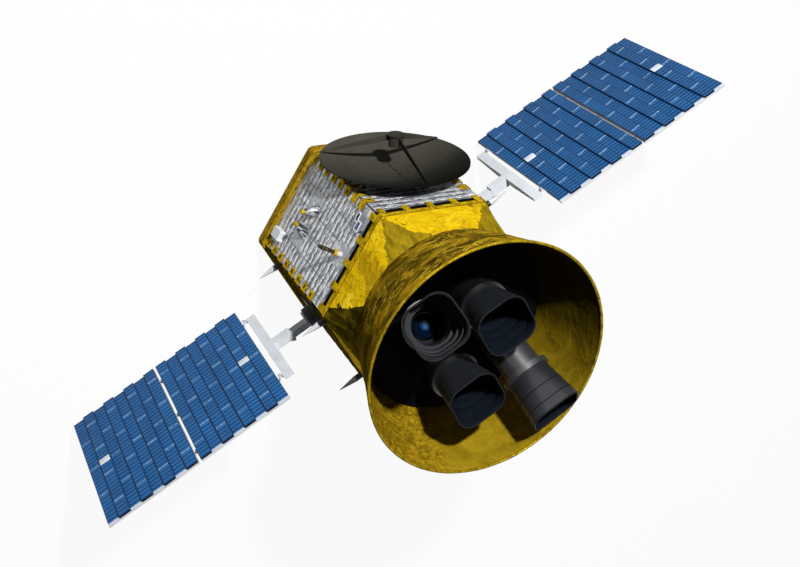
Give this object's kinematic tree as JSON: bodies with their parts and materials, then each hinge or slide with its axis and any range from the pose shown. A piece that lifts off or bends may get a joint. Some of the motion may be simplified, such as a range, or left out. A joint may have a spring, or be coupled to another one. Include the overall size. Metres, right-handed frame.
{
  "type": "survey satellite",
  "caption": "Six-sided satellite with a flared gold sunshade round fanned camera hoods, a side dish antenna and folding solar wings on turning arms.",
  "frame": {"origin": "middle of the adapter ring's underside, where the satellite stands", "axes": "+Z is the boresight, up from the floor; +X runs along the right solar wing; +Y is the side the solar cells face"},
  "size_m": [3.705, 1.2595, 1.7139],
  "materials": {
    "gold_foil": "crinkled gold film",
    "silver_foil": "quilted silver film",
    "black_cavity": "matt black",
    "camera_black": "satin black",
    "lens_glass": "coated glass",
    "dish_composite": "matt dark composite",
    "white_paint": "matt white",
    "ring_metal": "machined",
    "dark_metal": "satin dark grey",
    "cell_blue": "cover glass over blue cells",
    "board_white": "matt white board"
  },
  "bodies": {
    "bus": {"adapter_ring": "ring_metal", "rear_deck": "gold_foil", "bus_core": "black_cavity", "silver_side_panels": "silver_foil", "gold_side_panels": "gold_foil", "corner_clips": "gold_foil", "skirt_tabs": "gold_foil", "skirt": "gold_foil", "instrument_plate": "black_cavity", "sunshade": "gold_foil", "camera_hoods": "camera_black", "camera_barrels": "camera_black", "camera_lenses": "lens_glass", "camera_wedges": "camera_black", "dish": "dish_composite", "dish_mount": "dark_metal", "dish_feed": "dish_composite", "dish_struts": "dish_composite", "face_pads": "silver_foil", "horn_antennas": "silver_foil", "horn_knobs": "gold_foil", "rod_antenna": "gold_foil", "attitude_sensor": "white_paint", "electronics_box": "white_paint", "hold_down_bases": "dark_metal", "hold_down_cones": "white_paint", "left_drive_housing": "dark_metal", "right_drive_housing": "dark_metal"},
    "left_arm": {"left_wing_arm": "white_paint"},
    "left_yoke_body": {"left_yoke": "white_paint"},
    "left_inner_panel": {"left_inner_board": "board_white", "left_inner_cells": "cell_blue"},
    "left_outer_panel": {"left_outer_board": "board_white", "left_outer_cells": "cell_blue"},
    "right_arm": {"right_wing_arm": "white_paint"},
    "right_yoke_body": {"right_yoke": "white_paint"},
    "right_inner_panel": {"right_inner_board": "board_white", "right_inner_cells": "cell_blue"},
    "right_outer_panel": {"right_outer_board": "board_white", "right_outer_cells": "cell_blue"}
  },
  "joints": [
    {"name": "left_wing_drive", "type": "hinge", "parent": "bus", "child": "left_arm", "pos_m": [-0.5294, 0, 0.481], "axis": [-1, 0, 0], "range_deg": [-180, 180]},
    {"name": "left_root_fold", "type": "hinge", "parent": "left_arm", "child": "left_yoke_body", "pos_m": [-0.637, -0.048, 0.481], "axis": [0, 0, 1], "range_deg": [0, 90]},
    {"name": "left_inner_hinge", "type": "hinge", "parent": "left_yoke_body", "child": "left_inner_panel", "pos_m": [-0.802, 0.017, 0.481], "axis": [0, 0, 1], "range_deg": [-180, 0]},
    {"name": "left_outer_hinge", "type": "hinge", "parent": "left_inner_panel", "child": "left_outer_panel", "pos_m": [-1.335, -0.021, 0.481], "axis": [0, 0, 1], "range_deg": [0, 180]},
    {"name": "right_wing_drive", "type": "hinge", "parent": "bus", "child": "right_arm", "pos_m": [0.5294, 0, 0.481], "axis": [1, 0, 0], "range_deg": [-180, 180]},
    {"name": "right_root_fold", "type": "hinge", "parent": "right_arm", "child": "right_yoke_body", "pos_m": [0.637, -0.048, 0.481], "axis": [0, 0, -1], "range_deg": [0, 90]},
    {"name": "right_inner_hinge", "type": "hinge", "parent": "right_yoke_body", "child": "right_inner_panel", "pos_m": [0.802, 0.017, 0.481], "axis": [0, 0, -1], "range_deg": [-180, 0]},
    {"name": "right_outer_hinge", "type": "hinge", "parent": "right_inner_panel", "child": "right_outer_panel", "pos_m": [1.335, -0.021, 0.481], "axis": [0, 0, -1], "range_deg": [0, 180]}
  ],
  "couplings": [
    {"joint": "left_inner_hinge", "follows": "left_root_fold", "ratio": -2},
    {"joint": "left_outer_hinge", "follows": "left_root_fold", "ratio": 2},
    {"joint": "right_inner_hinge", "follows": "right_root_fold", "ratio": -2},
    {"joint": "right_outer_hinge", "follows": "right_root_fold", "ratio": 2}
  ]
}
